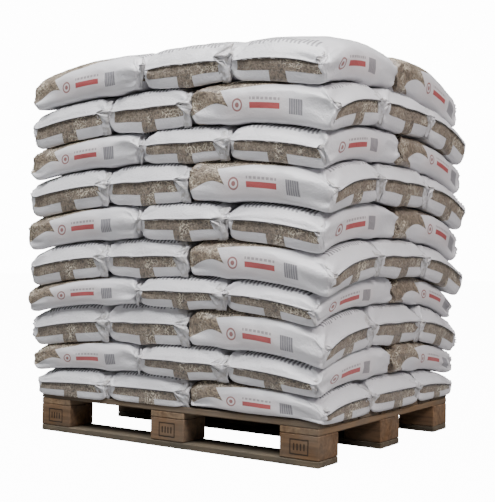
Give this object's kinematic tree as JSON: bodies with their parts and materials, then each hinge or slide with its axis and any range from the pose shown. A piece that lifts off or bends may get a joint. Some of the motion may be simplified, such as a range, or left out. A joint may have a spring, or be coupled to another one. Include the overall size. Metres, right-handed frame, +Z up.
{
  "type": "pallet of sacks",
  "caption": "Wooden pallet stacked with interlocking layers of laid, filled film sacks that bulge a little past its edges.",
  "frame": {"origin": "on the floor under the middle of the pallet, at the underside of its middle bottom board", "axes": "+Z up; +X along the pallet's 1200 mm side; -Y is the front, the long side that faces left in the picture"},
  "size_m": [1.323, 1.089, 1.4217],
  "materials": {
    "sack_film": "glossy white polyethylene film with clear windows, wrinkled at the ends",
    "pallet_wood": "weathered grey-brown rough-sawn softwood",
    "block_wood": "warm brown rough-sawn softwood",
    "nail_steel": "dull weathered nail heads"
  },
  "bodies": {
    "root": {"bottom_board_1": "pallet_wood", "bottom_board_2": "pallet_wood", "bottom_board_3": "pallet_wood", "block_row_1_column_1": "block_wood", "block_row_1_column_2": "block_wood", "block_row_1_column_3": "block_wood", "block_row_2_column_1": "block_wood", "block_row_2_column_2": "block_wood", "block_row_2_column_3": "block_wood", "block_row_3_column_1": "block_wood", "block_row_3_column_2": "block_wood", "block_row_3_column_3": "block_wood", "stringer_board_1": "block_wood", "stringer_board_2": "block_wood", "stringer_board_3": "block_wood", "deck_board_1": "pallet_wood", "deck_board_2": "pallet_wood", "deck_board_3": "pallet_wood", "deck_board_4": "pallet_wood", "deck_board_5": "pallet_wood", "deck_board_6": "pallet_wood", "deck_board_7": "pallet_wood", "sack_layer_01": "sack_film", "sack_layer_02": "sack_film", "sack_layer_03": "sack_film", "sack_layer_04": "sack_film", "sack_layer_05": "sack_film", "sack_layer_06": "sack_film", "sack_layer_07": "sack_film", "sack_layer_08": "sack_film", "sack_layer_09": "sack_film", "sack_layer_10": "sack_film"}
  },
  "joints": []
}
